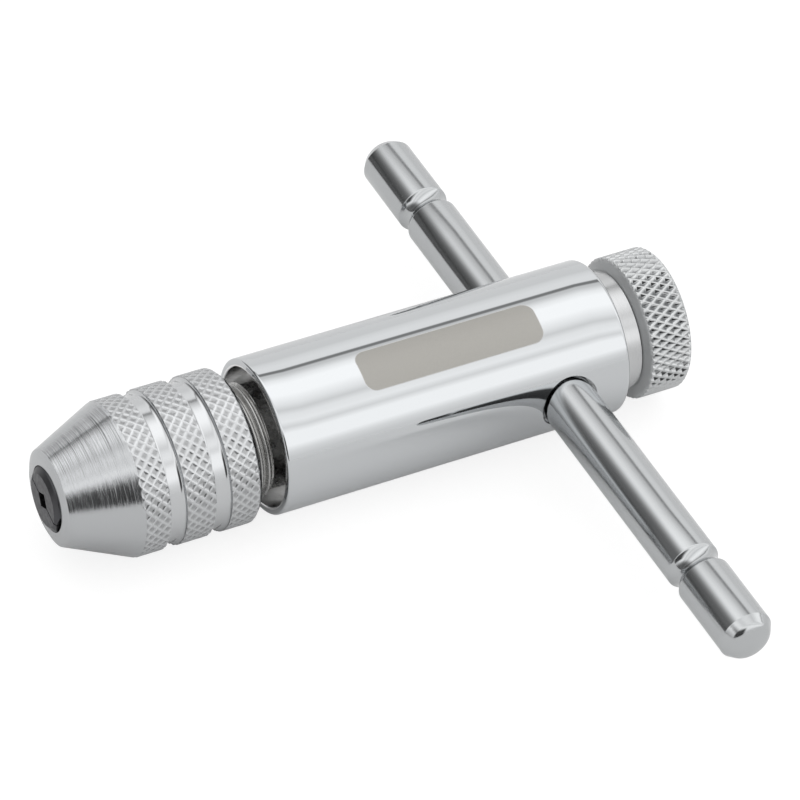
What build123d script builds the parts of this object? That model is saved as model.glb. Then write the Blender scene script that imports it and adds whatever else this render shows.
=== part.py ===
from build123d import *
import math
import os

os.makedirs("parts", exist_ok=True)

# Ratchet tap wrench with a sliding tee bar. Millimetres, lying on its casing.
# +X runs along the tool from the chuck to the selector knob, Y along the tee bar and Z is up.
# The origin is the centre of the jaws' front face, on the tool's axis.

# Clearances, all on the radius or along the axis
fit_gap = 0.02
run_gap = 0.05
end_play = 0.05

# Casing: a polished tube
casing_radius = 10.0
casing_wall = 1.0
casing_length = 47.5
rim_edge_chamfer = 0.4
rim_bore_chamfer = 0.1
rear_edge_round = 0.5

# Chuck nut: nose cone, three knurled bands and two plain grooves between them
jaw_protrusion = 0.6
nut_radius = 9.9
nut_wall = 2.5
nose_rise = 3.9
nose_edge_width = 0.8
nose_edge_length = 0.35
nose_cone_length = 8.75
front_band_width = 3.2
middle_band_width = 3.8
rear_band_width = 3.6
nut_groove_width = 2.2
nut_groove_depth = 0.6
groove_wall_slope = 0.25
groove_rear_round = 0.55
nut_rear_chamfer = 0.55
nut_bore_chamfer = 0.4
nut_to_casing = 3.3
nose_face_width = 1.76
cone_half_angle = 24.0
mouth_depth = 1.3

# Hardened cone ring seated in the nut, which presses the jaws together
ring_wall = 0.9
ring_rear_gap = 0.1
ring_length = 4.2
ring_seat_gap = 0.03

# Jaws: two halves with vee grooves that hold the tap's square
jaw_length = 16.05
jaw_width = 7.6
jaw_cone_rise = 1.06
jaw_cone_gap = 0.1
jaw_slit = 0.2
jaw_vee_depth = 1.25
jaw_edge_chamfer = 0.45
jaw_turn = 17.0
jaw_slot_gap = 0.05

# Two springs that part the jaws
jaw_spring_place = 13.0
jaw_spring_offset = 2.6
jaw_spring_radius = 0.65
jaw_spring_wire = 0.35
jaw_spring_hole = 0.9
jaw_spring_depth = 3.0
jaw_spring_turns = 5

# Spindle: slotted and threaded in front, a plain journal behind
thread_depth = 0.65
thread_end_chamfer = 0.4
thread_to_rim = 0.4
spindle_nose_set_back = 2.0
journal_radius = 5.0
shank_bore_radius = 3.0
shank_bore_depth = 9.0
tail_radius = 3.5
tail_flat = 2.8
tail_short = 0.1

# Front bush and thrust washer
bush_length = 17.0
bush_edge_chamfer = 0.4
washer_thickness = 0.8
washer_clearance = 0.6

# Ratchet wheel: a disc with a crown of slots in its rear face
slot_count = 12
slot_width = 1.9
slot_depth = 1.8
wheel_web = 1.9
wheel_clearance = 0.3
crown_inner_radius = 4.8
crown_gap = 0.3
wheel_screw_radius = 1.5
wheel_screw_length = 8.0
wheel_screw_head_radius = 3.2
wheel_screw_head_height = 1.2
drive_slot_width = 0.8
drive_slot_depth = 0.5

# Ratchet core: fills the casing's rear, carries the bar, both bolts and the knob
bar_to_rear = 8.6
core_front_depth = 11.0
boss_step = 2.2
boss_length = 2.9
boss_edge_chamfer = 0.1
core_front_chamfer = 0.4

# Tee bar: a round rod with a stop groove near each end
bar_radius = 3.5
bar_length = 98.0
bar_offset = -6.8
bar_bore_gap = 0.03
bar_hole_gap = 0.35
bar_end_taper = 1.0
bar_end_taper_length = 1.4
bar_end_dome = 0.4
bar_end_round = 1.6
bar_groove_from_end = 13.2
bar_groove_width = 2.7
bar_groove_depth = 0.7
bar_groove_edge_round = 0.25

# Ball, spring and plug that brake the bar
ball_radius = 1.5
ball_spring_radius = 1.0
ball_spring_wire = 0.4
ball_spring_turns = 3
ball_plug_length = 1.9

# Ratchet bolts, one above and one below the bar
bolt_radius = 1.6
bolt_wall = 1.18
bolt_flat = 1.2
bolt_body_length = 11.0
bolt_nose_width = 1.7
bolt_nose_length = 2.0
bolt_bevel_depth = 1.3
bolt_bevel_start = 0.2
bolt_stem_radius = 0.65
bolt_stem_gap = 0.1
bolt_head_radius = 1.0
bolt_head_gap = 0.06
bolt_engagement = 0.8
bolt_rear_wall = 3.6
bolt_spring_radius = 0.95
bolt_spring_wire = 0.4
bolt_spring_turns = 7

# Selector knob: a cup whose slanted web lifts one bolt and lowers the other
knob_gap = 0.1
knob_step = 0.73
knob_front_step = 1.6
knob_front_cone = 0.65
knob_rear_chamfer = 0.4
knob_length = 6.3
knob_wall = 1.67
web_middle = 1.9
web_reach = 4.0
web_slope_angle = 16.2
hub_radius = 3.3
hub_height = 3.05
selector_swing = 30.0
stem_slot_gap = 0.1
keyhole_turn = 55.0
keyhole_gap = 0.15
cover_rim = 1.17
cover_thickness = 0.9
cover_proud = 0.1
cover_edge_chamfer = 0.2

# Shoulder screw, wave washer and stop pin that hold the knob
screw_shoulder_radius = 2.0
screw_thread_radius = 1.5
screw_thread_length = 5.0
screw_head_radius = 3.0
screw_head_height = 1.4
wave_washer_thickness = 0.4
stop_pin_radius = 0.75
stop_pin_offset = 3.4
stop_pin_depth = 3.0
stop_pin_height = 1.2
stop_groove_gap = 0.1

# Places along the axis, from the chuck to the knob
cone_slope = math.tan(math.radians(cone_half_angle))
nut_front = jaw_protrusion
bands_start = nut_front + nose_cone_length
bands_length = front_band_width + middle_band_width + rear_band_width + 2 * nut_groove_width
nut_rear = bands_start + bands_length + nut_rear_chamfer
ring_front = nut_front + mouth_depth
casing_front = nut_rear + nut_to_casing
casing_rear = casing_front + casing_length
bar_place = casing_rear - bar_to_rear
core_front = bar_place - core_front_depth
core_rear = casing_rear + boss_length
crown_face = core_front - crown_gap
slot_bottom = crown_face - slot_depth
wheel_front = slot_bottom - wheel_web
washer_rear = wheel_front - end_play
washer_front = washer_rear - washer_thickness
bush_rear = washer_front - end_play
bush_front = bush_rear - bush_length
shoulder = bush_front - end_play
thread_rear = casing_front - thread_to_rim
ring_rear = ring_front + ring_length
spindle_nose = ring_rear + spindle_nose_set_back
jaw_slot_bottom = jaw_length + end_play
knob_front = core_rear + knob_gap
knob_rear = knob_front + knob_length
web_place = knob_front + web_middle
hub_face = knob_front + hub_height
cover_rear = knob_rear + cover_proud
cover_front = cover_rear - cover_thickness

# Radii that follow from their neighbours
casing_bore = casing_radius - casing_wall
core_radius = casing_bore - fit_gap
washer_radius = casing_bore - washer_clearance
boss_radius = casing_radius - boss_step
bolt_offset = core_radius - bolt_wall - bolt_radius
knob_radius = casing_radius - knob_step
knob_front_radius = knob_radius - knob_front_step
knob_cavity_radius = knob_radius - knob_wall
cover_radius = knob_radius - cover_rim
nut_bore = nut_radius - nut_wall
nose_radius = nut_radius - nose_rise
mouth_radius = nose_radius - nose_face_width
ring_rear_radius = nut_bore - ring_rear_gap
jaw_rear_radius = mouth_radius + jaw_cone_rise
thread_radius = nut_bore - run_gap
shank_radius = thread_radius - thread_depth
bolt_spring_seat = core_rear - bolt_rear_wall
bolt_nose = crown_face - bolt_engagement
bolt_shoulder = bolt_nose + bolt_body_length
web_slope = math.tan(math.radians(web_slope_angle))
bolt_head_place = web_place + bolt_head_radius / math.cos(math.radians(web_slope_angle)) + bolt_head_gap


def turned(*points, rounds=()):
    """A solid turned about the X axis from points (x, radius). rounds lists (point, edge radius)."""
    face = make_face(Polyline(*points, close=True))
    for (x, radius), edge_round in rounds:
        corner = face.vertices().sort_by_distance((x, radius, 0))[0]
        face = fillet(corner, edge_round)
    return revolve(face, Axis.X)


def rod(radius, start, end, y=0.0, z=0.0):
    """A plain cylinder along X."""
    return Pos((start + end) / 2, y, z) * Rot(0, 90, 0) * Cylinder(radius, end - start)


def block(x_range, y_range, z_range):
    """A box between three pairs of limits."""
    sizes = [high - low for low, high in (x_range, y_range, z_range)]
    middle = [(high + low) / 2 for low, high in (x_range, y_range, z_range)]
    return Pos(*middle) * Box(*sizes)


def arc_slot(radius, width, start, end, from_angle, to_angle):
    """A curved slot about the X axis with round ends. Angles run from +Y towards +Z."""
    inner, outer = radius - width / 2, radius + width / 2
    section = make_face(Polyline((start, inner), (end, inner), (end, outer), (start, outer), close=True))
    slot = Rot(from_angle, 0, 0) * revolve(section, Axis.X, to_angle - from_angle)
    for angle in (from_angle, to_angle):
        slot += Rot(angle, 0, 0) * rod(width / 2, start, end, y=radius)
    return slot


def coil(mean_radius, wire, length, turns):
    """A round wire coil that stands on the XY plane along +Z, its ends within the given length."""
    rise = length - wire
    path = Helix(rise / turns, rise, mean_radius)
    section = Plane(path @ 0, z_dir=path % 0) * Circle(wire / 2)
    return Pos(0, 0, wire / 2) * sweep(section, path=path)


def cone_radius(x):
    """Radius of the nut's inner cone at x."""
    return mouth_radius + (x - nut_front) * cone_slope


def make_casing():
    """Open tube with a hole through both walls for the bar."""
    tube = turned(
        (casing_front, casing_bore + rim_bore_chamfer),
        (casing_front, casing_radius - rim_edge_chamfer),
        (casing_front + rim_edge_chamfer, casing_radius),
        (casing_rear, casing_radius),
        (casing_rear, casing_bore),
        (casing_front + rim_bore_chamfer, casing_bore),
        rounds=[((casing_rear, casing_radius), rear_edge_round)],
    )
    return tube - bar_cutter(bar_radius + bar_hole_gap)


def bar_cutter(radius):
    """The round way through the tool that the bar slides in, cut as long as the bar."""
    return Pos(bar_place, 0, 0) * Rot(90, 0, 0) * Cylinder(radius, bar_length)


def make_core():
    """Plug of the casing's rear with the bar's bore, two bolt bores, the ball's bore and a rear boss."""
    core = turned(
        (core_front, 0),
        (core_front, core_radius - core_front_chamfer),
        (core_front + core_front_chamfer, core_radius),
        (casing_rear, core_radius),
        (casing_rear, boss_radius),
        (core_rear - boss_edge_chamfer, boss_radius),
        (core_rear, boss_radius - boss_edge_chamfer),
        (core_rear, 0),
    )
    core -= bar_cutter(bar_radius + bar_bore_gap)
    core -= rod(ball_radius + run_gap, core_front, bar_place)
    core -= rod(screw_thread_radius + fit_gap, core_rear - screw_thread_length - end_play, core_rear)
    core -= rod(stop_pin_radius + fit_gap, core_rear - stop_pin_depth, core_rear, y=stop_pin_offset)
    for side in (1, -1):
        core -= bolt_body(core_front, bolt_spring_seat, run_gap, side)
        core -= rod(bolt_stem_radius + bolt_stem_gap, bolt_spring_seat, core_rear, z=side * bolt_offset)
    return core


def bolt_body(start, end, gap, side):
    """The bolt's round body with its flat towards the bar, grown by gap. side is 1 above and -1 below."""
    radius = bolt_radius + gap
    body = rod(radius, start, end, z=bolt_offset)
    flat_place = bolt_offset - bolt_flat - gap
    body -= block((start, end), (-radius, radius), (flat_place - radius, flat_place))
    return body if side > 0 else mirror(body, Plane.XY)


def make_bolt(side):
    """Ratchet bolt: bevelled nose, flatted body, thin stem and a ball head behind the knob's web."""
    body = bolt_body(bolt_nose, bolt_shoulder, 0, 1)
    half_nose = bolt_nose_width / 2
    top = bolt_offset + bolt_radius
    low = bolt_offset - bolt_radius
    nose_end = bolt_nose + bolt_nose_length
    width = bolt_radius - half_nose
    for edge in (half_nose, -bolt_radius):
        body -= block((bolt_nose, nose_end), (edge, edge + width), (low, top))
    bevel = make_face(
        Polyline(
            (bolt_nose, bolt_bevel_start),
            (bolt_nose + bolt_bevel_depth, half_nose),
            (bolt_nose, half_nose),
            close=True,
        )
    )
    body -= Pos(0, 0, low) * extrude(bevel, top - low)
    body += rod(bolt_stem_radius, bolt_shoulder, bolt_head_place, z=bolt_offset)
    body += Pos(bolt_head_place, 0, bolt_offset) * Sphere(bolt_head_radius)
    return body if side > 0 else mirror(body, Plane.XY)


def make_bolt_spring(side):
    """Coil spring round a bolt's stem, from the bolt's shoulder to the core's rear wall."""
    length = bolt_spring_seat - bolt_shoulder
    spring = coil(bolt_spring_radius, bolt_spring_wire, length, bolt_spring_turns)
    return Pos(bolt_shoulder, 0, side * bolt_offset) * Rot(0, 90, 0) * spring


def make_bush():
    """Long plain bearing pressed into the casing's front half."""
    radius = casing_bore - fit_gap
    bore = journal_radius + run_gap
    return turned(
        (bush_front, bore),
        (bush_front, radius - bush_edge_chamfer),
        (bush_front + bush_edge_chamfer, radius),
        (bush_rear, radius),
        (bush_rear, bore),
    )


def make_thrust_washer():
    """Flat ring between the bush and the ratchet wheel."""
    hole = rod(journal_radius + run_gap, washer_front, washer_rear)
    return rod(washer_radius, washer_front, washer_rear) - hole


def make_spindle():
    """Slotted, threaded front, plain shank, journal and a flatted tail."""
    spindle = turned(
        (spindle_nose, 0),
        (spindle_nose, thread_radius - thread_end_chamfer),
        (spindle_nose + thread_end_chamfer, thread_radius),
        (thread_rear - thread_end_chamfer, thread_radius),
        (thread_rear, shank_radius),
        (shoulder, shank_radius),
        (shoulder, journal_radius),
        (wheel_front, journal_radius),
        (wheel_front, tail_radius),
        (slot_bottom - tail_short, tail_radius),
        (slot_bottom - tail_short, 0),
    )
    slot_half = jaw_width / 2 + jaw_slot_gap
    slot = block((spindle_nose, jaw_slot_bottom), (-slot_half, slot_half), (-thread_radius, thread_radius))
    spindle -= Rot(jaw_turn, 0, 0) * slot
    spindle -= rod(shank_bore_radius, jaw_slot_bottom, jaw_slot_bottom + shank_bore_depth)
    tail = (wheel_front, slot_bottom)
    for low, high in ((tail_flat, tail_radius), (-tail_radius, -tail_flat)):
        spindle -= block(tail, (-tail_radius, tail_radius), (low, high))
    screw_end = slot_bottom - wheel_screw_length - end_play
    return spindle - rod(wheel_screw_radius + fit_gap, screw_end, slot_bottom)


def make_wheel():
    """Disc with a crown of radial slots and a flatted bore for the spindle's tail."""
    outer = casing_bore - wheel_clearance
    wheel = turned(
        (wheel_front, 0),
        (wheel_front, outer),
        (crown_face, outer),
        (crown_face, crown_inner_radius),
        (slot_bottom, crown_inner_radius),
        (slot_bottom, 0),
    )
    slot = block((slot_bottom, crown_face), (0, outer), (-slot_width / 2, slot_width / 2))
    for step in range(slot_count):
        wheel -= Rot(step * 360 / slot_count, 0, 0) * slot
    flat = tail_flat + run_gap
    bore = rod(tail_radius + run_gap, wheel_front, slot_bottom)
    keep = block((wheel_front, slot_bottom), (-outer, outer), (-flat, flat))
    return wheel - (bore & keep)


def make_wheel_screw():
    """Slotted screw that clamps the ratchet wheel to the spindle."""
    head_end = slot_bottom + wheel_screw_head_height
    screw = rod(wheel_screw_radius, slot_bottom - wheel_screw_length, slot_bottom)
    screw += rod(wheel_screw_head_radius, slot_bottom, head_end)
    half_slot = drive_slot_width / 2
    reach = wheel_screw_head_radius
    return screw - block((head_end - drive_slot_depth, head_end), (-reach, reach), (-half_slot, half_slot))


def make_cone_ring():
    """Thin ring with a conical bore, seated in the nut's nose."""
    cone_end = ring_front + (ring_rear_radius - cone_radius(ring_front) - ring_wall) / cone_slope
    return turned(
        (ring_front, cone_radius(ring_front)),
        (ring_front, cone_radius(ring_front) + ring_wall),
        (cone_end, ring_rear_radius),
        (ring_rear, ring_rear_radius),
        (ring_rear, cone_radius(ring_rear)),
    )


def make_nut():
    """Chuck nut: cone nose, three bands, two grooves, conical mouth, ring seat and threaded bore."""
    seat_front = ring_front - ring_seat_gap
    seat_radius = cone_radius(ring_front) + ring_wall + ring_seat_gap
    seat_end = seat_front + (nut_bore - seat_radius) / cone_slope
    groove_radius = nut_radius - nut_groove_depth
    nose_edge_radius = nose_radius + nose_edge_length * nose_rise / nose_cone_length
    outline = [
        (nut_front, mouth_radius),
        (nut_front, nose_edge_radius - nose_edge_width),
        (nut_front + nose_edge_length, nose_edge_radius),
        (bands_start, nut_radius),
    ]
    rounds = []
    x = bands_start
    for width in (front_band_width, middle_band_width):
        x += width
        outline += [(x, nut_radius), (x + groove_wall_slope, groove_radius)]
        x += nut_groove_width
        outline += [(x, groove_radius), (x, nut_radius)]
        rounds.append(((x, groove_radius), groove_rear_round))
    outline += [
        (nut_rear - nut_rear_chamfer, nut_radius),
        (nut_rear, nut_radius - nut_rear_chamfer),
        (nut_rear, nut_bore + nut_bore_chamfer),
        (nut_rear - nut_bore_chamfer, nut_bore),
        (seat_end, nut_bore),
        (seat_front, seat_radius),
        (seat_front, cone_radius(seat_front)),
    ]
    return turned(*outline, rounds=rounds)


def make_jaw(side):
    """Half a split plug: cone outside, vee groove and two spring holes on the flat side."""
    def jaw_radius(x):
        return cone_radius(x) - jaw_cone_gap

    cone_end = nut_front + (jaw_rear_radius - mouth_radius + jaw_cone_gap) / cone_slope
    plug = turned(
        (0, 0),
        (0, jaw_radius(0) - jaw_edge_chamfer),
        (jaw_edge_chamfer, jaw_radius(jaw_edge_chamfer)),
        (cone_end, jaw_rear_radius),
        (jaw_length, jaw_rear_radius),
        (jaw_length, 0),
    )
    half_width = jaw_width / 2
    face_height = jaw_slit / 2
    vee_top = face_height + jaw_vee_depth
    jaw = plug & block((0, jaw_length), (-half_width, half_width), (face_height, jaw_rear_radius))
    vee = make_face(Polyline((-vee_top, 0), (0, vee_top), (vee_top, 0), close=True))
    jaw -= extrude(Plane.YZ * vee, jaw_length)
    for offset in (jaw_spring_offset, -jaw_spring_offset):
        hole = Cylinder(jaw_spring_hole, jaw_spring_depth, align=(Align.CENTER, Align.CENTER, Align.MIN))
        jaw -= Pos(jaw_spring_place, offset, face_height) * hole
    if side < 0:
        jaw = mirror(jaw, Plane.XY)
    return Rot(jaw_turn, 0, 0) * jaw


def make_jaw_spring(offset):
    """Small coil spring whose ends sit in a hole of each jaw."""
    half = jaw_slit / 2 + jaw_spring_depth - end_play
    spring = coil(jaw_spring_radius, jaw_spring_wire, 2 * half, jaw_spring_turns)
    return Rot(jaw_turn, 0, 0) * Pos(jaw_spring_place, offset, -half) * spring


def make_bar():
    """Round rod with tapered, slightly domed ends and a round stop groove near each end."""
    half = bar_length / 2
    flat_radius = bar_radius - bar_end_taper
    dome = [(-half, 0), (half, 0)]
    outline = [
        (-half + bar_end_dome, flat_radius),
        (-half + bar_end_dome + bar_end_taper_length, bar_radius),
        (half - bar_end_dome - bar_end_taper_length, bar_radius),
        (half - bar_end_dome, flat_radius),
    ]
    dome_radius = (flat_radius**2 + bar_end_dome**2) / (2 * bar_end_dome)
    edges = [
        RadiusArc(dome[0], outline[0], dome_radius),
        Polyline(*outline),
        RadiusArc(outline[3], dome[1], dome_radius),
        Line(dome[1], dome[0]),
    ]
    section = make_face(edges)
    for x, radius in (outline[0], outline[3]):
        corner = section.vertices().sort_by_distance((x, radius, 0))[0]
        section = fillet(corner, bar_end_round)
    rod_solid = revolve(section, Axis.X)
    round_radius = (bar_groove_width**2 / 4 + bar_groove_depth**2) / (2 * bar_groove_depth)
    for end in (1, -1):
        place = end * (half - bar_groove_from_end)
        centre = bar_radius + round_radius - bar_groove_depth
        ring = Pos(place, centre, 0) * Circle(round_radius)
        rod_solid -= revolve(ring, Axis.X)
        circles = rod_solid.edges().filter_by(GeomType.CIRCLE)
        near = circles.filter_by_position(Axis.X, place - bar_groove_width, place + bar_groove_width)
        shoulders = [edge for edge in near if abs(edge.radius - bar_radius) < fit_gap]
        rod_solid = fillet(shoulders, bar_groove_edge_round)
    return Pos(bar_place, bar_offset, 0) * Rot(0, 0, 90) * rod_solid


def make_ball():
    """Steel ball that presses on the bar."""
    return Pos(bar_place - bar_radius - ball_radius - fit_gap, 0, 0) * Sphere(ball_radius)


def make_ball_spring():
    """Short coil between the ball and its plug."""
    ball_back = bar_place - bar_radius - 2 * ball_radius - fit_gap
    plug_end = core_front + ball_plug_length
    contact = ball_radius - math.sqrt(ball_radius**2 - ball_spring_radius**2)
    length = ball_back + contact - plug_end - fit_gap
    spring = coil(ball_spring_radius, ball_spring_wire, length, ball_spring_turns)
    return Pos(plug_end, 0, 0) * Rot(0, 90, 0) * spring


def make_ball_plug():
    """Slotted plug that closes the ball's bore."""
    plug = rod(ball_radius, core_front, core_front + ball_plug_length)
    half_slot = drive_slot_width / 2
    slot_end = core_front + drive_slot_depth
    return plug - block((core_front, slot_end), (-ball_radius, ball_radius), (-half_slot, half_slot))


def make_knob():
    """Cup with a slanted web: keyhole slots for the bolt stems, a hub and a groove for the stop pin."""
    knob = turned(
        (knob_front, 0),
        (knob_front, knob_front_radius),
        (knob_front + knob_front_cone, knob_radius),
        (knob_rear - knob_rear_chamfer, knob_radius),
        (knob_rear, knob_radius - knob_rear_chamfer),
        (knob_rear, 0),
    )
    low_face = web_place - web_reach * web_slope
    high_face = web_place + web_reach * web_slope
    room_size = 2 * (knob_radius + knob_length)
    room = Box(room_size, room_size, room_size, align=(Align.MIN, Align.CENTER, Align.CENTER))
    behind_web = Pos(web_place, 0, 0) * Rot(0, 0, -web_slope_angle) * room
    cavity = rod(knob_cavity_radius, low_face, knob_rear) & behind_web
    cavity += rod(knob_cavity_radius, high_face, knob_rear)
    cavity -= rod(hub_radius, knob_front, hub_face)
    knob -= cavity
    knob -= rod(cover_radius + fit_gap, cover_front - fit_gap, knob_rear)
    knob -= rod(screw_shoulder_radius + run_gap, knob_front, hub_face)
    stem_slot_width = 2 * (bolt_stem_radius + stem_slot_gap)
    keyhole = rod(bolt_head_radius + keyhole_gap, knob_front, hub_face, y=bolt_offset)
    for bolt_angle in (90, -90):
        first, last = bolt_angle - selector_swing, bolt_angle + keyhole_turn
        knob -= arc_slot(bolt_offset, stem_slot_width, knob_front, hub_face, first, last)
        knob -= Rot(last, 0, 0) * keyhole
    groove_width = 2 * (stop_pin_radius + stop_groove_gap)
    groove_end = knob_front + stop_pin_height
    swing = (-selector_swing, selector_swing)
    return knob - arc_slot(stop_pin_offset, groove_width, knob_front, groove_end, *swing)


def make_cover():
    """Disc pressed into the knob's rear."""
    return turned(
        (cover_front, 0),
        (cover_front, cover_radius),
        (cover_rear - cover_edge_chamfer, cover_radius),
        (cover_rear, cover_radius - cover_edge_chamfer),
        (cover_rear, 0),
    )


def make_knob_screw():
    """Shoulder screw on which the knob turns."""
    head_front = hub_face + 2 * end_play + wave_washer_thickness
    screw = rod(screw_thread_radius, core_rear - screw_thread_length, core_rear)
    screw += rod(screw_shoulder_radius, core_rear, head_front)
    screw += rod(screw_head_radius, head_front, head_front + screw_head_height)
    half_slot = drive_slot_width / 2
    head_end = head_front + screw_head_height
    reach = screw_head_radius
    return screw - block((head_end - drive_slot_depth, head_end), (-reach, reach), (-half_slot, half_slot))


def make_wave_washer():
    """Spring washer that brakes the knob."""
    start = hub_face + end_play
    end = start + wave_washer_thickness
    return rod(screw_head_radius, start, end) - rod(screw_shoulder_radius + run_gap, start, end)


def make_stop_pin():
    """Dowel in the core that ends the knob's swing."""
    start = core_rear - stop_pin_depth + end_play
    end = knob_front + stop_pin_height - stop_groove_gap
    return rod(stop_pin_radius, start, end, y=stop_pin_offset)


nodes = {
    "casing": make_casing(),
    "ratchet_core": make_core(),
    "front_bush": make_bush(),
    "thrust_washer": make_thrust_washer(),
    "spindle": make_spindle(),
    "ratchet_wheel": make_wheel(),
    "wheel_screw": make_wheel_screw(),
    "cone_ring": make_cone_ring(),
    "chuck_nut": make_nut(),
    "jaw_upper": make_jaw(1),
    "jaw_lower": make_jaw(-1),
    "jaw_spring_left": make_jaw_spring(jaw_spring_offset),
    "jaw_spring_right": make_jaw_spring(-jaw_spring_offset),
    "ratchet_bolt_upper": make_bolt(1),
    "ratchet_bolt_lower": make_bolt(-1),
    "bolt_spring_upper": make_bolt_spring(1),
    "bolt_spring_lower": make_bolt_spring(-1),
    "selector_knob": make_knob(),
    "knob_cover": make_cover(),
    "knob_screw": make_knob_screw(),
    "wave_washer": make_wave_washer(),
    "stop_pin": make_stop_pin(),
    "t_bar": make_bar(),
    "bar_ball": make_ball(),
    "bar_ball_spring": make_ball_spring(),
    "bar_ball_plug": make_ball_plug(),
}

for name, solid in nodes.items():
    export_step(solid, f"parts/{name}.step")
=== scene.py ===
import math

import bpy
import bmesh
import numpy as np
from mathutils import Matrix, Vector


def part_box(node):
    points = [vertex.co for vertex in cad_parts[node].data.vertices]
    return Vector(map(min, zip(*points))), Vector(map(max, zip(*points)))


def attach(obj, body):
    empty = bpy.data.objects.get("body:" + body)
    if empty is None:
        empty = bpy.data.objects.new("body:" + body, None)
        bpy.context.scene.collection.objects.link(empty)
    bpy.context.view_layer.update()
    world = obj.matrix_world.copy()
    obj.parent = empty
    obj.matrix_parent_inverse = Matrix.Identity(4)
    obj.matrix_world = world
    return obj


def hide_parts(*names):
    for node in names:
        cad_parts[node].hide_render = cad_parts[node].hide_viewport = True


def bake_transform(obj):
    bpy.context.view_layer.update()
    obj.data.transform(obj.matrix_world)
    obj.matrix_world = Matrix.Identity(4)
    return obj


# Ratchet tap wrench with a sliding tee bar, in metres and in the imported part's own frame:
# +X runs from the chuck to the selector knob, +Y along the tee bar and +Z up, with the tool on its casing.
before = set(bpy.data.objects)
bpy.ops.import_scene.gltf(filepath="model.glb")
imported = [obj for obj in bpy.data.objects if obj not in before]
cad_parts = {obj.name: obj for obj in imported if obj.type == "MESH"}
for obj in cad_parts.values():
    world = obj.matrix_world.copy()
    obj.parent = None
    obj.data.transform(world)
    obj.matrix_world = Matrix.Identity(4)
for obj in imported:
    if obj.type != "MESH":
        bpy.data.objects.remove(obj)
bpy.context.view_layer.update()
mm = 0.001


# Casing: a drawn steel tube, chrome plated, polished to a mirror outside and less so in its bore. The
# bore's colour is painted far brighter than the chrome's, as painted light in the shaded pit behind the
# nut.
# A plain matt panel with round corners is etched along its top, between the front rim and the bar.
# The bar's hole is bored through both walls of a finely turned tube.
casing_low, casing_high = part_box("casing")
bar_low, bar_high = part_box("t_bar")
casing_radius = casing_high.z
casing_wall = 1.0 * mm
casing_bore = casing_radius - casing_wall
rim_round = 0.35 * mm
rim_bore_chamfer = 0.1 * mm
rear_round = 0.5 * mm
edge_round_points = 9
casing_columns = 512
casing_sharp_edge = 24
bar_radius = bar_high.z
bar_place = (bar_low.x + bar_high.x) / 2
bar_hole_clearance = 0.35 * mm
bar_hole_radius = bar_radius + bar_hole_clearance
bar_hole_margin = 1.0 * mm
bar_hole_rows = 21
plain_tube_rows = 12
chrome_colour = (0.585, 0.6, 0.612)
chrome_roughness = (0.02, 0.055)
smudge_fineness = (90, 160, 160)
panel_middle_x = 52.9 * mm
panel_middle_angle = math.radians(111)
panel_half_length = 12.3 * mm
panel_half_width = 2.8 * mm
panel_corner = 1.5 * mm
panel_edge = 0.06 * mm
etched_colour = (0.39, 0.38, 0.357)
etched_roughness = (0.49, 0.61)
etched_fineness = (9000, 9000, 9000)
etched_depth = 0.004 * mm
bore_edge = casing_radius - 0.75 * casing_wall
# Painted light: the bore's metal colour is far brighter than the chrome's, to lift the shaded pit behind
# the nut.
bore_painted_light_colour = (0.9, 0.9, 0.9)
bore_roughness = (0.17, 0.23)
clouds_low, clouds_high = 0.3, 0.7


def skin(name, points, faces):
    """A mesh object from an array of points and an array of faces."""
    mesh = bpy.data.meshes.new(name)
    mesh.from_pydata(points, [], faces)
    mesh.update()
    made = bpy.data.objects.new(name, mesh)
    bpy.context.scene.collection.objects.link(made)
    return made


def lathe_points(x, radius):
    """Rows of points turned about X: each row stands at its x and each column at its share of a full
    turn, so a point is (x, radius times cosine, radius times sine)."""
    rows, columns = radius.shape
    angle = np.arange(columns) * (2 * math.pi / columns)
    wide = np.broadcast_to(x[:, None], radius.shape)
    return np.stack([wide, radius * np.cos(angle), radius * np.sin(angle)], -1).reshape(-1, 3)


def lathe_faces(rows, columns, joined, first_row=0):
    """Triangles between the rows. Each square is cut along the diagonal that a diamond pattern's edges
    follow: one way where row plus column is even and the other way where it is odd."""
    row, column = np.mgrid[0:rows if joined else rows - 1, 0:columns]
    after = (column + 1) % columns
    here, beside = row * columns + column, row * columns + after
    behind, corner = (row + 1) % rows * columns + column, (row + 1) % rows * columns + after
    even = (row - first_row + column) % 2 == 0
    one = np.stack([here, beside, np.where(even, corner, behind)], -1)
    two = np.stack([np.where(even, here, beside), corner, behind], -1)
    return np.concatenate([one.reshape(-1, 3), two.reshape(-1, 3)])


def closed_rod(name, x, radius, along_bar=False):
    """A turned rod with a flat fan of triangles on each end, on the tool's axis or along the tee bar."""
    rows, columns = radius.shape
    points = np.concatenate([lathe_points(x, radius), [(x[0], 0, 0), (x[-1], 0, 0)]])
    if along_bar:
        points = np.stack([bar_place - points[:, 1], points[:, 0], points[:, 2]], -1)
    column = np.arange(columns)
    after = (column + 1) % columns
    front = np.stack([np.full(columns, rows * columns), after, column], -1)
    last = (rows - 1) * columns
    rear = np.stack([np.full(columns, rows * columns + 1), last + column, last + after], -1)
    return skin(name, points, np.concatenate([lathe_faces(rows, columns, False), front, rear]))


def around_axis(outline, columns):
    """The x of each row and the same radius in every column, for a plain turned shape."""
    outline = np.array(outline)
    return outline[:, 0], np.repeat(outline[:, 1:], columns, axis=1)


def cut(piece, tool, operation):
    """Cuts the piece to the tool or takes the tool away from it, and removes the tool."""
    change = piece.modifiers.new("cut", "BOOLEAN")
    change.operation = operation
    change.solver = "EXACT"
    change.object = tool
    shaped = bpy.data.meshes.new_from_object(piece.evaluated_get(bpy.context.evaluated_depsgraph_get()))
    piece.modifiers.clear()
    piece.data = shaped
    bpy.data.objects.remove(tool)


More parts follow.
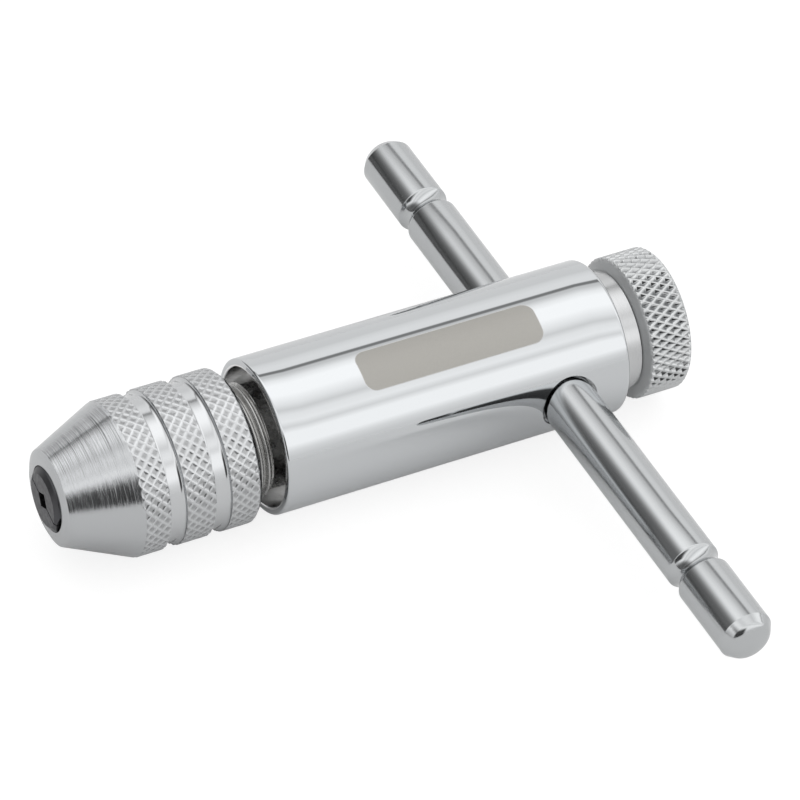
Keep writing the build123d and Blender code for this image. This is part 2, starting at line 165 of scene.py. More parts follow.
def crisp(piece, angle, finish):
    """Smooth faces that break at every edge sharper than angle, with one finish all over."""
    piece.data.shade_smooth()
    piece.data.set_sharp_from_angle(angle=math.radians(angle))
    piece.data.materials.clear()
    piece.data.materials.append(finish)


def quarter_round(x, radius, size, steps):
    """Points of a quarter circle that rounds an outer corner, from the radius to the face at x."""
    swing = np.linspace(0, math.pi / 2, steps)
    return list(zip(x - size + size * np.sin(swing), radius - size + size * np.cos(swing)))


def step(tree, kind, *values, **options):
    """Adds one shader node, sets its options, feeds its inputs in order and returns its first output."""
    node = tree.nodes.new("ShaderNode" + kind)
    for option, choice in options.items():
        setattr(node, option, choice)
    for socket, value in zip(node.inputs, values):
        if isinstance(value, bpy.types.NodeSocket):
            tree.links.new(value, socket)
        elif value is not None:
            socket.default_value = value
    return node.outputs[0]


def place(tree):
    """The point on the piece, in metres in the part's frame."""
    return tree.nodes.new("ShaderNodeTexCoord").outputs["Object"]


def metal(name, colour, roughness):
    """A metal finish: the material, its nodes and its shader, with the plain colour and the middle of the
    roughness range on the shader itself."""
    finish = bpy.data.materials.new(name)
    finish.use_nodes = True
    shader = finish.node_tree.nodes["Principled BSDF"]
    shader.inputs["Base Color"].default_value = (*colour, 1)
    shader.inputs["Metallic"].default_value = 1
    shader.inputs["Roughness"].default_value = sum(roughness) / 2
    return finish, finish.node_tree, shader


def relief(tree, shader, height, depth):
    """Raises the surface by height, which runs from 0 to 1, times depth in metres."""
    bump = tree.nodes.new("ShaderNodeBump")
    bump.inputs["Distance"].default_value = depth
    tree.links.new(height, bump.inputs["Height"])
    tree.links.new(bump.outputs[0], shader.inputs["Normal"])


def along_clouds(tree, clouds, low, high):
    """Runs from low to high with the clouds, which lie mostly between clouds_low and clouds_high."""
    return step(tree, "MapRange", clouds, clouds_low, clouds_high, low, high)


def spread(tree, shader, clouds, low, high):
    """Lets the roughness run from low to high with the clouds."""
    tree.links.new(along_clouds(tree, clouds, low, high), shader.inputs["Roughness"])


def scaled(tree, factors):
    """The point on the piece, with each of its three numbers multiplied by its own factor."""
    return step(tree, "VectorMath", place(tree), factors, operation="MULTIPLY")


def clouds_of(tree, fineness, detail, unevenness):
    """Cloudy noise in the metal, with about so many clouds per metre along X, Y and Z. A large number
    along X alone makes the rings of a lathe."""
    return step(tree, "TexNoise", scaled(tree, fineness), None, 1.0, detail, unevenness)


def off_axis(tree):
    """How far the point lies from the tool's axis, in metres."""
    return step(tree, "VectorMath", scaled(tree, (0, 1, 1)), operation="LENGTH").node.outputs["Value"]


def dress(node_name, finish):
    """Gives a CAD node its finish."""
    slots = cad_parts[node_name].data.materials
    slots.clear()
    slots.append(finish)


hole_half = bar_hole_radius + bar_hole_margin
hole_x = np.linspace(bar_place - hole_half, bar_place + hole_half, bar_hole_rows)
outside_x = np.concatenate([
    np.linspace(casing_low.x + rim_round, hole_x[0], plain_tube_rows)[:-1],
    hole_x,
])
bore_x = np.concatenate([
    hole_x[::-1],
    np.linspace(hole_x[0], casing_low.x + rim_bore_chamfer, plain_tube_rows)[1:],
])
front_round = quarter_round(-casing_low.x, casing_radius, rim_round, edge_round_points)
outline = [(-x, radius) for x, radius in reversed(front_round)]
outline += [(x, casing_radius) for x in outside_x[1:]]
outline += quarter_round(casing_high.x, casing_radius, rear_round, edge_round_points)
outline += [(casing_high.x, casing_bore)]
outline += [(x, casing_bore) for x in bore_x]
outline += [(casing_low.x, casing_bore + rim_bore_chamfer)]
tube_x, tube_radius = around_axis(outline, casing_columns)
tube_faces = lathe_faces(len(tube_x), casing_columns, True)
casing = skin("bored_casing_tube", lathe_points(tube_x, tube_radius), tube_faces)
drill = np.full((2, casing_columns // 2), bar_hole_radius)
cut(casing, closed_rod("bar_drill", np.array([bar_low.y, bar_high.y]), drill, along_bar=True), "DIFFERENCE")

casing_chrome, tree, shader = metal("casing_chrome", chrome_colour, chrome_roughness)
point = step(tree, "SeparateXYZ", place(tree)).node.outputs
turn = step(tree, "Math", point[2], point[1], operation="ARCTAN2")
arc = step(tree, "Math", turn, panel_middle_angle, operation="SUBTRACT")
arc = step(tree, "Math", arc, casing_radius, operation="MULTIPLY")
beyond = []
for value, middle, half in ((point[0], panel_middle_x, panel_half_length), (arc, 0.0, panel_half_width)):
    distance = step(tree, "Math", value, middle, operation="SUBTRACT")
    distance = step(tree, "Math", distance, operation="ABSOLUTE")
    distance = step(tree, "Math", distance, half - panel_corner, operation="SUBTRACT")
    distance = step(tree, "Math", distance, 0.0, operation="MAXIMUM")
    beyond.append(step(tree, "Math", distance, 2.0, operation="POWER"))
corner = step(tree, "Math", step(tree, "Math", *beyond, operation="ADD"), 0.5, operation="POWER")
etched = step(tree, "MapRange", corner, panel_corner + panel_edge, panel_corner - panel_edge, 0.0, 1.0)
grain = clouds_of(tree, etched_fineness, 3.0, 0.6)
smudge = clouds_of(tree, smudge_fineness, 4.0, 0.5)
matt = along_clouds(tree, grain, *etched_roughness)
polished = along_clouds(tree, smudge, *chrome_roughness)
bored = along_clouds(tree, grain, *bore_roughness)
in_bore = step(tree, "Math", off_axis(tree), bore_edge, operation="LESS_THAN")
rough = step(tree, "MixRGB", etched, polished, matt)
rough = step(tree, "MixRGB", in_bore, rough, bored)
tree.links.new(rough, shader.inputs["Roughness"])
tint = step(tree, "MixRGB", etched, (*chrome_colour, 1), (*etched_colour, 1))
# Painted light in the bore: its colour is raised far above the chrome's.
tint = step(tree, "MixRGB", in_bore, tint, (*bore_painted_light_colour, 1))
tree.links.new(tint, shader.inputs["Base Color"])
sunk = step(tree, "Math", grain, etched, operation="MULTIPLY")
sunk = step(tree, "Math", etched, sunk, operation="ADD")
relief(tree, shader, sunk, -etched_depth)
crisp(casing, casing_sharp_edge, casing_chrome)
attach(casing, "handle")
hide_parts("casing")


# Ratchet core: a steel plug turned to fill the casing's rear. Only its boss shows, behind the casing,
# bright from the lathe with fine rings and a thin bright edge.
turned_colour = (0.53, 0.535, 0.54)
turned_roughness = (0.14, 0.28)
turned_fineness = (14000, 60, 60)
turned_ring_height = 0.0012 * mm
turned_steel, tree, shader = metal("turned_steel", turned_colour, turned_roughness)
rings = clouds_of(tree, turned_fineness, 2.0, 0.6)
spread(tree, shader, rings, *turned_roughness)
relief(tree, shader, rings, turned_ring_height)
for name in ("ratchet_core", "thrust_washer", "ratchet_bolt_upper", "ratchet_bolt_lower", "stop_pin",
             "bar_ball"):
    dress(name, turned_steel)


# Front bush: bearing steel, ground and pressed in. Its colour is painted far brighter than steel's, as
# painted light in the shaded pit. It mirrors the thread softly, and its front face shows round the thread,
# inside the casing's rim.
# Painted light: a metal colour far brighter than steel's lifts the shaded pit inside the casing's rim.
bush_painted_light_colour = (0.9, 0.9, 0.89)
ground_roughness = (0.24, 0.36)
ground_fineness = (2600, 2600, 2600)
ground_depth = 0.0004 * mm
ground_steel, tree, shader = metal("ground_bush", bush_painted_light_colour, ground_roughness)
grain = clouds_of(tree, ground_fineness, 4.0, 0.6)
spread(tree, shader, grain, *ground_roughness)
relief(tree, shader, grain, ground_depth)
dress("front_bush", ground_steel)


# Ratchet wheel, its screw, the knob's screw, the ball's plug and the cone ring: blackened steel, lightly
# oiled. They are pressed in or screwed in and lie inside the tool.
blackened_colour = (0.1, 0.1, 0.105)
blackened_roughness = (0.25, 0.42)
blackened_fineness = (900, 900, 900)
blackened, tree, shader = metal("blackened_steel", blackened_colour, blackened_roughness)
spread(tree, shader, clouds_of(tree, blackened_fineness, 5.0, 0.6), *blackened_roughness)
for name in ("ratchet_wheel", "wheel_screw", "knob_screw", "bar_ball_plug", "cone_ring"):
    dress(name, blackened)


# Spindle: turned steel with a right-handed thread that the chuck nut runs on, phosphated grey and oiled.
# The thread is cut into a merged copy of the CAD spindle, whose thread is plain at the crests.
thread_pitch = 1.0 * mm
thread_depth = 0.56 * mm
thread_steps_per_pitch = 16
thread_columns = 128
thread_sharpness = 1.4
thread_skin_gap = 0.03 * mm
thread_sharp_edge = 32
merge_distance = 0.0002 * mm
nut_low, nut_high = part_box("chuck_nut")
spindle_low, spindle_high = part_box("spindle")
thread_low = spindle_low.x
thread_end_gap = 0.4 * mm
thread_high = casing_low.x - thread_end_gap
shank_clear = 0.3 * mm
phosphated_colour = (0.43, 0.428, 0.42)
phosphated_roughness = (0.18, 0.34)
phosphated_fineness = (1400, 1400, 1400)
phosphated_depth = 0.003 * mm


def merged_copy(node_name, name):
    """A copy of a CAD node with its loose triangles joined."""
    copy = bpy.data.objects.new(name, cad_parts[node_name].data.copy())
    bpy.context.scene.collection.objects.link(copy)
    joined = bmesh.new()
    joined.from_mesh(copy.data)
    bmesh.ops.remove_doubles(joined, verts=joined.verts, dist=merge_distance)
    joined.to_mesh(copy.data)
    joined.free()
    return copy


def thread_radius(x, angle, crest):
    """Round thread: half a cosine plus a half, to the power of thread_sharpness, is the share of the depth
    that is cut away. It repeats once for each pitch along X and moves one pitch along X for each turn."""
    phase = (x / thread_pitch - angle / (2 * math.pi)) % 1
    return crest - thread_depth * (0.5 + 0.5 * np.cos(2 * math.pi * phase)) ** thread_sharpness


phosphated, tree, shader = metal("phosphated_thread", phosphated_colour, phosphated_roughness)
mottle = clouds_of(tree, phosphated_fineness, 4.0, 0.6)
spread(tree, shader, mottle, *phosphated_roughness)
relief(tree, shader, mottle, phosphated_depth)

spindle = merged_copy("spindle", "threaded_spindle")
crest = spindle_high.z
row_x = np.arange(thread_low - thread_pitch, thread_high, thread_pitch / thread_steps_per_pitch)
column_angle = np.arange(thread_columns) * (2 * math.pi / thread_columns)
threaded = thread_radius(row_x[:, None], column_angle[None, :], crest - thread_skin_gap)
end_x = np.array([thread_high, thread_high + shank_clear, spindle_high.x + thread_pitch])
ends = np.full((3, thread_columns), crest + thread_pitch)
ends[0] = crest - thread_depth
limit = closed_rod("thread_limit", np.concatenate([row_x, end_x]), np.concatenate([threaded, ends]))
cut(spindle, limit, "INTERSECT")
crisp(spindle, thread_sharp_edge, phosphated)
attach(spindle, "spindle")
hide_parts("spindle")


# Chuck nut: turned steel, satin nickel plated. Its three bands are knurled with a raised net of diamonds,
# whose pits are painted darker as painted shade, and the cone in front and the two grooves keep the lathe's
# fine rings.
nut_radius = nut_high.y
nose_radius = 6.0 * mm
nose_edge_width = 0.8 * mm
nose_edge_length = 0.35 * mm
nose_length = 8.75 * mm
nose_cone_points = 11
mouth_radius = 4.24 * mm
thread_clearance = 0.05 * mm
nut_bore = crest + thread_clearance
band_widths = (3.2 * mm, 3.8 * mm, 3.6 * mm)
groove_width = 2.2 * mm
groove_depth = 0.6 * mm
groove_front_slope = 0.25 * mm
groove_round = 0.55 * mm
groove_round_steps = 8
wall_lean = 0.001 * mm
rear_chamfer = 0.55 * mm
bore_chamfer = 0.4 * mm
seat_depth = 5.4 * mm
nose_wall = 1.27 * mm
nose_seat_rise = 1.5 * mm
nose_wall_rise = 0.57 * mm
nut_sharp_edge = 38
nut_diamonds = 42
nut_diamond_length = 1.38 * mm
nut_steps = 12
nut_ridge_steps = 0.75
nut_pit_depth = 0.12 * mm
nut_pit_slope_share = 0.7
# Painted shade: the darker colour of the knurl's pits.
pit_painted_shade_colour = (0.36, 0.365, 0.37)
pit_edge = 0.02 * mm
nickel_colour = (0.58, 0.59, 0.6)
cone_colour = (0.5, 0.51, 0.52)
nickel_roughness = (0.18, 0.32)
cone_tip_roughness = 0.18
cone_base_roughness = 0.11
groove_roughness = 0.13
groove_edge = 0.05 * mm
nut_fineness = (1500, 24, 24)
nut_ring_height = 0.1 * mm
nut_ring_share_on_bands = 0.06
knurl_lead_in = 4


def pit_share(row, column, steps, ridge_steps):
    """How far a point lies into a diamond of the knurl: 0 on a ridge and 1 in the diamond's middle. Ridges
    run where row plus column, and row minus column, is a multiple of steps."""
    half = steps // 2
    one = np.abs((row + column + half) % steps - half)
    other = np.abs((row - column + half) % steps - half)
    return np.clip((np.minimum(one, other) - ridge_steps) / (half - ridge_steps), 0, 1)


row_length = nut_diamond_length / nut_steps
bands_start = nut_low.x + nose_length
groove_radius = nut_radius - groove_depth
swing = np.linspace(0, math.pi / 2, groove_round_steps)
outline = [(nut_low.x + nose_length / 2, (nose_radius + nut_radius) / 2), (bands_start, nut_radius)]
added_x = []
edge = bands_start
for width in band_widths[:2]:
    edge += round(width / row_length) * row_length
    outline += [(edge, nut_radius), (edge + groove_front_slope, groove_radius)]
    edge += round(groove_width / row_length) * row_length
    arc_x = edge - groove_round + groove_round * np.sin(swing)
    outline += list(zip(arc_x, groove_radius + groove_round - groove_round * np.cos(swing)))
    outline += [(edge + wall_lean, nut_radius)]
    added_x += [*arc_x[:-1], edge + wall_lean]
outline += [(nut_high.x - rear_chamfer, nut_radius), (nut_high.x, nut_radius - rear_chamfer)]
outline = np.array(outline)
last_row = round((outline[-1, 0] - bands_start) / row_length)
band_x = bands_start + np.arange(-knurl_lead_in, last_row + 1) * row_length
band_x[-1] = nut_high.x
band_x = np.sort(np.concatenate([band_x, added_x]))
band_row = (band_x - bands_start) / row_length
column = np.arange(nut_diamonds * nut_steps)
plain = np.interp(band_x, outline[:, 0], outline[:, 1])[:, None]
share = pit_share(band_row[:, None], column[None, :], nut_steps, nut_ridge_steps)
knurled = nut_radius - nut_pit_depth * np.sin(math.pi / 2 * np.minimum(share / nut_pit_slope_share, 1))
band_radius = np.minimum(plain, knurled)

cone_rise = (nut_radius - nose_radius) / nose_length
nose_edge_radius = nose_radius + nose_edge_length * cone_rise
front = [
    (nut_low.x, mouth_radius),
    (nut_low.x, nose_edge_radius - nose_edge_width),
    (nut_low.x + nose_edge_length, nose_edge_radius),
]
cone_x = np.linspace(nut_low.x + nose_edge_length, band_x[0], nose_cone_points)[1:-1]
front += list(zip(cone_x, nose_radius + (cone_x - nut_low.x) * cone_rise))
rear = [
    (nut_high.x, nut_bore + bore_chamfer),
    (nut_high.x - bore_chamfer, nut_bore),
    (nut_low.x + seat_depth, nut_bore),
    (nut_low.x + nose_wall, mouth_radius + nose_seat_rise),
    (nut_low.x + nose_wall, mouth_radius + nose_wall_rise),
]
front_x, front_radius = around_axis(front, len(column))
rear_x, rear_radius = around_axis(rear, len(column))
nut_x = np.concatenate([front_x, band_x, rear_x])
nut_faces = lathe_faces(len(nut_x), len(column), True, first_row=len(front) + knurl_lead_in)
nut_rows = np.concatenate([front_radius, band_radius, rear_radius])
nut = skin("knurled_chuck_nut", lathe_points(nut_x, nut_rows), nut_faces)

satin_nickel, tree, shader = metal("satin_nickel", nickel_colour, nickel_roughness)
along = step(tree, "SeparateXYZ", place(tree))
on_bands = step(tree, "Math", along, bands_start, operation="GREATER_THAN")
pit_floor, pit_top = nut_radius - nut_pit_depth, nut_radius - pit_edge
in_groove = step(tree, "Math", off_axis(tree), pit_floor - groove_edge, operation="LESS_THAN")
in_groove = step(tree, "Math", in_groove, on_bands, operation="MULTIPLY")
# Painted shade: the knurl darkens with depth into its pits, but not in the grooves.
raised = step(tree, "MapRange", off_axis(tree), pit_floor, pit_top, 0.0, 1.0)
raised = step(tree, "Math", raised, in_groove, operation="MAXIMUM")
tint = step(tree, "MixRGB", raised, (*pit_painted_shade_colour, 1), (*nickel_colour, 1))
tree.links.new(step(tree, "MixRGB", on_bands, (*cone_colour, 1), tint), shader.inputs["Base Color"])
rings = clouds_of(tree, nut_fineness, 5.0, 0.7)
rough = along_clouds(tree, rings, *nickel_roughness)
from_tip = step(tree, "MapRange", along, nut_low.x, bands_start, cone_tip_roughness, cone_base_roughness)
rough = step(tree, "MapRange", on_bands, 0.0, 1.0, from_tip, rough)
rough = step(tree, "MapRange", in_groove, 0.0, 1.0, rough, groove_roughness)
tree.links.new(rough, shader.inputs["Roughness"])
turned = step(tree, "MapRange", on_bands, 0.0, 1.0, 1.0, nut_ring_share_on_bands)
relief(tree, shader, step(tree, "Math", rings, turned, operation="MULTIPLY"), nut_ring_height)
crisp(nut, nut_sharp_edge, satin_nickel)
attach(nut, "nut")
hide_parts("chuck_nut")


# Jaws: two hardened halves, oil blackened, with a vee in each flat side that grips the tap's square.
# Fine grinding marks and a thin oil film leave them dark grey rather than black.
jaw_colour = (0.085, 0.085, 0.09)
jaw_roughness = (0.26, 0.5)
jaw_fineness = (1500, 1500, 1500)
jaw_mark_depth = 0.006 * mm
jaw_black, tree, shader = metal("blackened_jaws", jaw_colour, jaw_roughness)
mottle = clouds_of(tree, jaw_fineness, 5.0, 0.65)
spread(tree, shader, mottle, *jaw_roughness)
relief(tree, shader, mottle, jaw_mark_depth)
for name in ("jaw_upper", "jaw_lower"):
    dress(name, jaw_black)


# Springs and wave washer: drawn spring wire and strip, bright with faint draw lines.
# They sit inside the tool; the two bolt springs, which close up as their bolts are drawn back, stay fixed
# here.
wire_colour = (0.42, 0.42, 0.43)
wire_roughness = (0.16, 0.3)
wire_fineness = (5000, 5000, 5000)
wire_sharp_edge = 60
spring_wire, tree, shader = metal("spring_wire", wire_colour, wire_roughness)
spread(tree, shader, clouds_of(tree, wire_fineness, 2.0, 0.5), *wire_roughness)
for name in ("jaw_spring_left", "jaw_spring_right", "bar_ball_spring", "wave_washer"):
    dress(name, spring_wire)
for name, bolt in (("bolt_spring_upper", "upper_bolt"), ("bolt_spring_lower", "lower_bolt")):
    spring = merged_copy(name, name + "_coil")
    crisp(spring, wire_sharp_edge, spring_wire)
    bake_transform(spring)
    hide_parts(name)


# Tee bar: round steel rod, ground, chrome plated and polished, with a stop groove near each end.
# Its ends are tapered and domed on the lathe, which leaves fine rings there.
bar_columns = 160
bar_dome_radius = 8.0 * mm
bar_dome_tilt = math.radians(14.5)
bar_first_tilt = 0.005
bar_end_round = 1.6 * mm
bar_end_tilt = math.radians(54.5)
bar_end_length = 1.8 * mm
groove_from_end = 13.2 * mm
bar_groove_round = 1.652 * mm
bar_groove_depth = 0.7 * mm
bar_groove_edge = 0.25 * mm
bar_arc_points = 12
bar_middle_rows = 10
bar_sharp_edge = 24
bar_colour = (0.5, 0.512, 0.52)
bar_roughness = (0.1, 0.17)
bar_fineness = (60, 9000, 60)
facing_fineness = 5000.0
facing_ring_height = 0.008 * mm


def bar_end_outline():
    """Distance from the end and radius, from the middle of the dome outwards: a shallow arc, a tighter arc
    that turns into the taper, and the taper's end on the full radius. A point at tilt t of an arc stands
    radius times one less cosine t along the bar and radius times sine t from its middle."""
    tilt = np.linspace(bar_first_tilt, bar_dome_tilt, bar_arc_points)
    dome = bar_dome_radius * np.stack([1 - np.cos(tilt), np.sin(tilt)], -1)
    tilt = np.linspace(bar_dome_tilt, bar_end_tilt, bar_arc_points)[1:]
    bend = bar_end_round * np.stack([
        math.cos(bar_dome_tilt) - np.cos(tilt),
        np.sin(tilt) - math.sin(bar_dome_tilt),
    ], -1)
    return np.concatenate([dome, dome[-1] + bend, [(bar_end_length, bar_radius)]])


def bar_groove_outline():
    """Distance from the groove's middle and radius: a rounded edge, a hollow arc and a rounded edge. The
    edge's centre lies where the two arcs touch, at the sum of their radii from the hollow's centre."""
    centre = bar_radius + bar_groove_round - bar_groove_depth
    edge_height = bar_radius - bar_groove_edge
    both = bar_groove_round + bar_groove_edge
    edge_place = math.sqrt(both ** 2 - (centre - edge_height) ** 2)
    reach = math.asin(edge_place / both)
    swing = np.linspace(-reach, reach, 2 * bar_arc_points + 1)
    hollow = bar_groove_round * np.stack([np.sin(swing), -np.cos(swing)], -1) + (0, centre)
    swing = np.linspace(0, reach, bar_arc_points // 2 + 1)[:-1]
    edge = bar_groove_edge * np.stack([-np.sin(swing), np.cos(swing)], -1) + (edge_place, edge_height)
    return np.concatenate([edge * (-1, 1), hollow, edge[::-1]])


end = bar_end_outline()
groove = bar_groove_outline()
half = np.concatenate([end + (bar_low.y, 0), groove + (bar_low.y + groove_from_end, 0)])
mirrored = half[::-1] * (-1, 1) + (bar_low.y + bar_high.y, 0)
middle = np.linspace(half[-1, 0], mirrored[0, 0], bar_middle_rows + 2)[1:-1]
middle = np.stack([middle, np.full(bar_middle_rows, bar_radius)], -1)
bar_outline = np.concatenate([half, middle, mirrored])
bar = closed_rod("turned_tee_bar", *around_axis(bar_outline, bar_columns), along_bar=True)
bar_chrome, tree, shader = metal("bar_chrome", bar_colour, bar_roughness)
spread(tree, shader, clouds_of(tree, bar_fineness, 2.0, 0.6), *bar_roughness)
from_middle = step(tree, "VectorMath", place(tree), (bar_place, 0, 0), operation="SUBTRACT")
from_middle = step(tree, "VectorMath", from_middle, (1, 0, 1), operation="MULTIPLY")
from_middle = step(tree, "VectorMath", from_middle, operation="LENGTH").node.outputs["Value"]
apart = step(tree, "CombineXYZ", from_middle, 0.0, 0.0)
facing = step(tree, "TexNoise", apart, None, facing_fineness, 3.0, 0.6)
relief(tree, shader, facing, facing_ring_height)
crisp(bar, bar_sharp_edge, bar_chrome)
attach(bar, "bar")
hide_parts("t_bar")


# Selector knob: a turned ring with a deep diamond knurl between its front cone and rear chamfer, nickel
# plated. Its front face is matt and partly non-metallic, as painted light in the shade of the gap by the
# boss, and the knurl's pits are painted darker as painted shade. The knurl is cut into a merged copy of the
# CAD knob, and a bright turned disc is pressed into the knob's rear.
knob_low, knob_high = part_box("selector_knob")
knob_radius = knob_high.y
knob_diamonds = 50
knob_diamond_length = 2.02 * mm
knob_steps = 16
knob_margin_rows = 2
knob_ridge_steps = 1
knob_pit_depth = 0.46 * mm
knob_skin_gap = 0.03 * mm
knob_sharp_edge = 38
knob_colour = (0.54, 0.55, 0.555)
knob_roughness = (0.06, 0.14)
knob_fineness = (4200, 30, 30)
knob_ring_height = 0.006 * mm
# Painted shade: the darker colour of the knurl's pits.
knob_pit_painted_shade_colour = (0.2, 0.205, 0.21)
knob_pit_edge = 0.12 * mm
knob_front_cone = 0.65 * mm
knob_rear_chamfer = 0.4 * mm
# Painted light: the front face is partly non-metallic, so its colour lifts the shade of the gap by the
# boss.
knob_face_painted_light_colour = (0.48, 0.49, 0.495)
knob_face_painted_light_metallic = 0.35
knob_face_roughness = 0.35

row_length = knob_diamond_length / knob_steps
last_row = round((knob_high.x - knob_low.x) / row_length) + knob_margin_rows
row = np.arange(-knob_margin_rows, last_row + 1)
column = np.arange(knob_diamonds * knob_steps)
pits = knob_pit_depth * pit_share(row[:, None], column[None, :], knob_steps, knob_ridge_steps)
blank = closed_rod("knurled_blank", knob_low.x + row * row_length, knob_radius - knob_skin_gap - pits)
knob = merged_copy("selector_knob", "knurled_selector_knob")
cut(knob, blank, "INTERSECT")
knob_nickel, tree, shader = metal("knob_nickel", knob_colour, knob_roughness)
rings = clouds_of(tree, knob_fineness, 4.0, 0.62)
relief(tree, shader, rings, knob_ring_height)
along = step(tree, "SeparateXYZ", place(tree))
on_face = step(tree, "Math", along, knob_low.x + knob_front_cone, operation="LESS_THAN")
on_rear = step(tree, "Math", along, knob_high.x - knob_rear_chamfer, operation="GREATER_THAN")
pit_floor, pit_top = knob_radius - knob_pit_depth, knob_radius - knob_pit_edge
# Painted shade: the knurl darkens with depth into its pits, but not on the rear chamfer.
raised = step(tree, "MapRange", off_axis(tree), pit_floor, pit_top, 0.0, 1.0)
raised = step(tree, "Math", raised, on_rear, operation="MAXIMUM")
tint = step(tree, "MixRGB", raised, (*knob_pit_painted_shade_colour, 1), (*knob_colour, 1))
tint = step(tree, "MixRGB", on_face, tint, (*knob_face_painted_light_colour, 1))
tree.links.new(tint, shader.inputs["Base Color"])
# Painted light: the front face loses much of its metal, to lighten the shaded gap by the boss.
metallic = step(tree, "MapRange", on_face, 0.0, 1.0, 1.0, knob_face_painted_light_metallic)
tree.links.new(metallic, shader.inputs["Metallic"])
rough = along_clouds(tree, rings, *knob_roughness)
rough = step(tree, "MapRange", on_face, 0.0, 1.0, rough, knob_face_roughness)
tree.links.new(rough, shader.inputs["Roughness"])
crisp(knob, knob_sharp_edge, knob_nickel)
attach(knob, "selector")
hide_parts("selector_knob")
dress("knob_cover", turned_steel)


# Studio: a white floor under a large white tent that is lit unevenly, as soft cloth panels are.
# The dark slit behind and the dark front and left sides give polished metal its contrast.
floor_height = casing_low.z
tent_radius = 3.0
tent_middle = (casing_high.x / 2, 0.0, floor_height)
tent_right = (0.892, -0.452, 0.0)
tent_back = (0.452, 0.892, 0.0)
tent_rings = 24
tent_columns = 96
tent_levels = (
    (0, 0.93), (20, 0.93), (25, 1.05), (33, 1.15), (41, 1.15), (42.6, 0.3), (46, 0.3), (47.5, 0.85),
    (51, 0.92), (58, 1.33), (65, 1.55), (80, 1.55), (93, 1.25), (100, 1.0), (107, 1.25), (116, 1.33),
    (124, 1.07), (133, 1.45), (153, 1.45), (164, 1.1), (175, 0.93), (180, 0.93),
)
left_levels = (
    (-1.0, 0.14), (-0.86, 0.14), (-0.8, 0.18), (-0.72, 0.3), (-0.64, 0.53), (-0.55, 0.83), (-0.46, 1.0),
    (1.0, 1.0),
)
window_edge = 0.4
window_blur = 0.06
window_low, window_high = 136, 150
window_level = 0.07
brightest = 1.6


def level_ramp(tree, amount, stops, low, high, top):
    """A grey ramp through stops (amount, level), read at amount, which runs from low to high."""
    share = step(tree, "MapRange", amount, low, high, 0.0, 1.0)
    ramp = step(tree, "ValToRGB", share).node
    ramp.color_ramp.elements.remove(ramp.color_ramp.elements[1])
    for count, (at, level) in enumerate(stops):
        where = (at - low) / (high - low)
        stop = ramp.color_ramp.elements[0] if count == 0 else ramp.color_ramp.elements.new(where)
        stop.position = where
        stop.color = (level / top, level / top, level / top, 1)
    return ramp.outputs[0]


rise = np.linspace(0, math.pi / 2, tent_rings + 1)[:-1, None]
around = np.arange(tent_columns) * (2 * math.pi / tent_columns)
tent_points = tent_middle + tent_radius * np.stack([
    np.cos(rise) * np.cos(around),
    np.cos(rise) * np.sin(around),
    np.broadcast_to(np.sin(rise), (tent_rings, tent_columns)),
], -1).reshape(-1, 3)
tent_top = np.array([tent_middle]) + (0, 0, tent_radius)
column = np.arange(tent_columns)
last = (tent_rings - 1) * tent_columns
peak = np.full(tent_columns, tent_rings * tent_columns)
cap = np.stack([peak, last + (column + 1) % tent_columns, last + column], -1)
walls = lathe_faces(tent_rings, tent_columns, False)[:, ::-1]
tent = skin("studio_tent", np.concatenate([tent_points, tent_top]), np.concatenate([walls, cap]))
tent.visible_camera = False
cloth = bpy.data.materials.new("lit_cloth")
cloth.use_nodes = True
tree = cloth.node_tree
tree.nodes.clear()
away = step(tree, "VectorMath", place(tree), tent_middle, operation="SUBTRACT")
away = step(tree, "VectorMath", away, operation="NORMALIZE")
across = step(tree, "VectorMath", away, tent_right, operation="DOT_PRODUCT").node.outputs["Value"]
back = step(tree, "VectorMath", away, tent_back, operation="DOT_PRODUCT").node.outputs["Value"]
up = step(tree, "VectorMath", away, (0, 0, 1), operation="DOT_PRODUCT").node.outputs["Value"]
over = step(tree, "Math", up, back, operation="ARCTAN2")
over = step(tree, "Math", over, operation="DEGREES")
level = level_ramp(tree, over, tent_levels, 0, 180, brightest)
side = level_ramp(tree, across, left_levels, -1, 1, 1)
level = step(tree, "MixRGB", 1.0, level, side, blend_type="MULTIPLY")
sideways = step(tree, "Math", across, operation="ABSOLUTE")
inside = step(tree, "MapRange", sideways, window_edge + window_blur, window_edge - window_blur, 0.0, 1.0)
low_front = step(tree, "MapRange", over, window_low, window_high, 0.0, 1.0)
window = step(tree, "Math", inside, low_front, operation="MULTIPLY")
window = step(tree, "MapRange", window, 0.0, 1.0, 1.0, window_level)
level = step(tree, "MixRGB", 1.0, level, window, blend_type="MULTIPLY")
glow = tree.nodes.new("ShaderNodeEmission")
glow.inputs["Strength"].default_value = brightest
tree.links.new(level, glow.inputs["Color"])
ending = tree.nodes.new("ShaderNodeOutputMaterial")
tree.links.new(glow.outputs[0], ending.inputs["Surface"])
tent.data.materials.append(cloth)

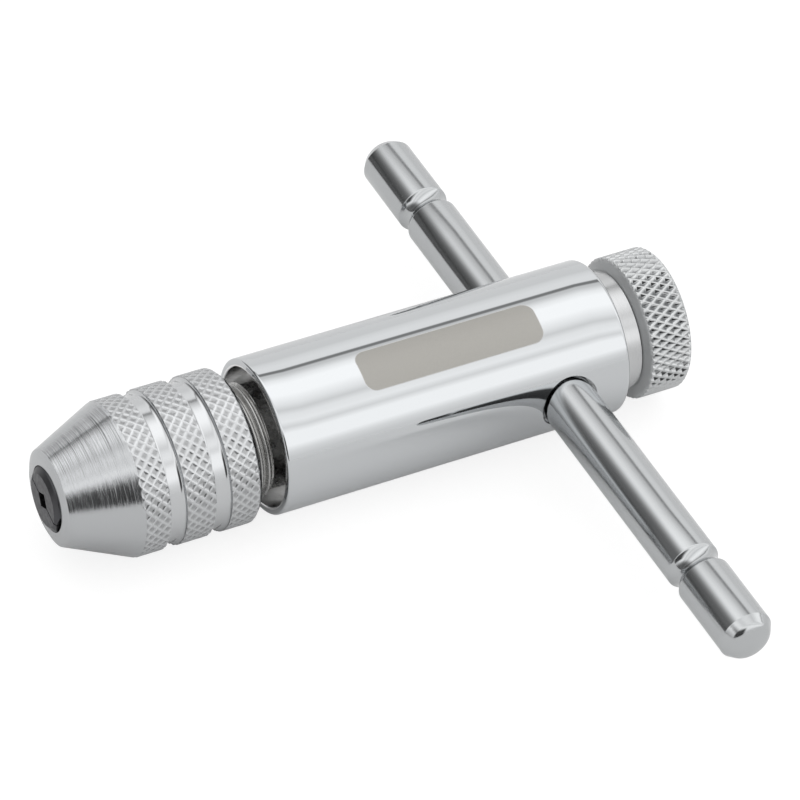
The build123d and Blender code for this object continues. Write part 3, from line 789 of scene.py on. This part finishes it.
floor_colour = 0.86
floor_glow = 0.82
floor_glow_in_metal = 0.05
floor_lit_share = 0.3
floor_lit_share_in_metal = 0.9
ring = tent_middle + tent_radius * np.stack([np.cos(around), np.sin(around), np.zeros(tent_columns)], -1)
floor = skin("white_floor", ring, [list(range(tent_columns))])
paper = bpy.data.materials.new("white_paper")
paper.use_nodes = True
tree = paper.node_tree
shader = tree.nodes["Principled BSDF"]
shader.inputs["Base Color"].default_value = (floor_colour, floor_colour, floor_colour, 1)
shader.inputs["Roughness"].default_value = 1.0
shader.inputs["Specular IOR Level"].default_value = 0.0
rays = tree.nodes.new("ShaderNodeLightPath").outputs
seen = step(tree, "Math", rays["Is Camera Ray"], rays["Is Glossy Ray"], operation="ADD")
seen = step(tree, "Math", seen, rays["Is Transmission Ray"], operation="ADD", use_clamp=True)
lit = tree.nodes.new("ShaderNodeEmission")
glowing, glowing_in_metal = 1 - floor_lit_share, 1 - floor_lit_share_in_metal
strengths = (floor_glow / glowing, floor_glow_in_metal / glowing_in_metal)
strength = step(tree, "MapRange", rays["Is Glossy Ray"], 0.0, 1.0, *strengths)
tree.links.new(strength, lit.inputs["Strength"])
share = step(tree, "MapRange", rays["Is Glossy Ray"], 0.0, 1.0, glowing, glowing_in_metal)
share = step(tree, "Math", seen, share, operation="MULTIPLY")
mixed = tree.nodes.new("ShaderNodeMixShader")
tree.links.new(share, mixed.inputs[0])
tree.links.new(shader.outputs[0], mixed.inputs[1])
tree.links.new(lit.outputs[0], mixed.inputs[2])
tree.links.new(mixed.outputs[0], tree.nodes["Material Output"].inputs["Surface"])
floor.data.materials.append(paper)

world = bpy.data.worlds.new("white_room")
world.use_nodes = True
world.node_tree.nodes["Background"].inputs["Color"].default_value = (1, 1, 1, 1)
world.node_tree.nodes["Background"].inputs["Strength"].default_value = 1.0
bpy.context.scene.world = world
bpy.context.scene.view_settings.view_transform = "Standard"


# Camera: the photograph's place and lens, from in front of the chuck and above, with a small roll.
eye = (-0.17724, -0.39174, 0.41359)
right = (0.89064, -0.45088, 0.05888)
down = (-0.26719, -0.62372, -0.73457)
ahead = (0.36792, 0.63850, -0.67598)
film_width = 36
photo_lens = 221.94
near_clip = 0.01
camera = bpy.data.objects.new("photo_camera", bpy.data.cameras.new("photo_camera"))
bpy.context.scene.collection.objects.link(camera)
camera.matrix_world = Matrix([
    (right[0], -down[0], -ahead[0], eye[0]),
    (right[1], -down[1], -ahead[1], eye[1]),
    (right[2], -down[2], -ahead[2], eye[2]),
    (0, 0, 0, 1),
])
camera.data.sensor_width = film_width
camera.data.lens = photo_lens
camera.data.clip_start = near_clip
bpy.context.scene.camera = camera
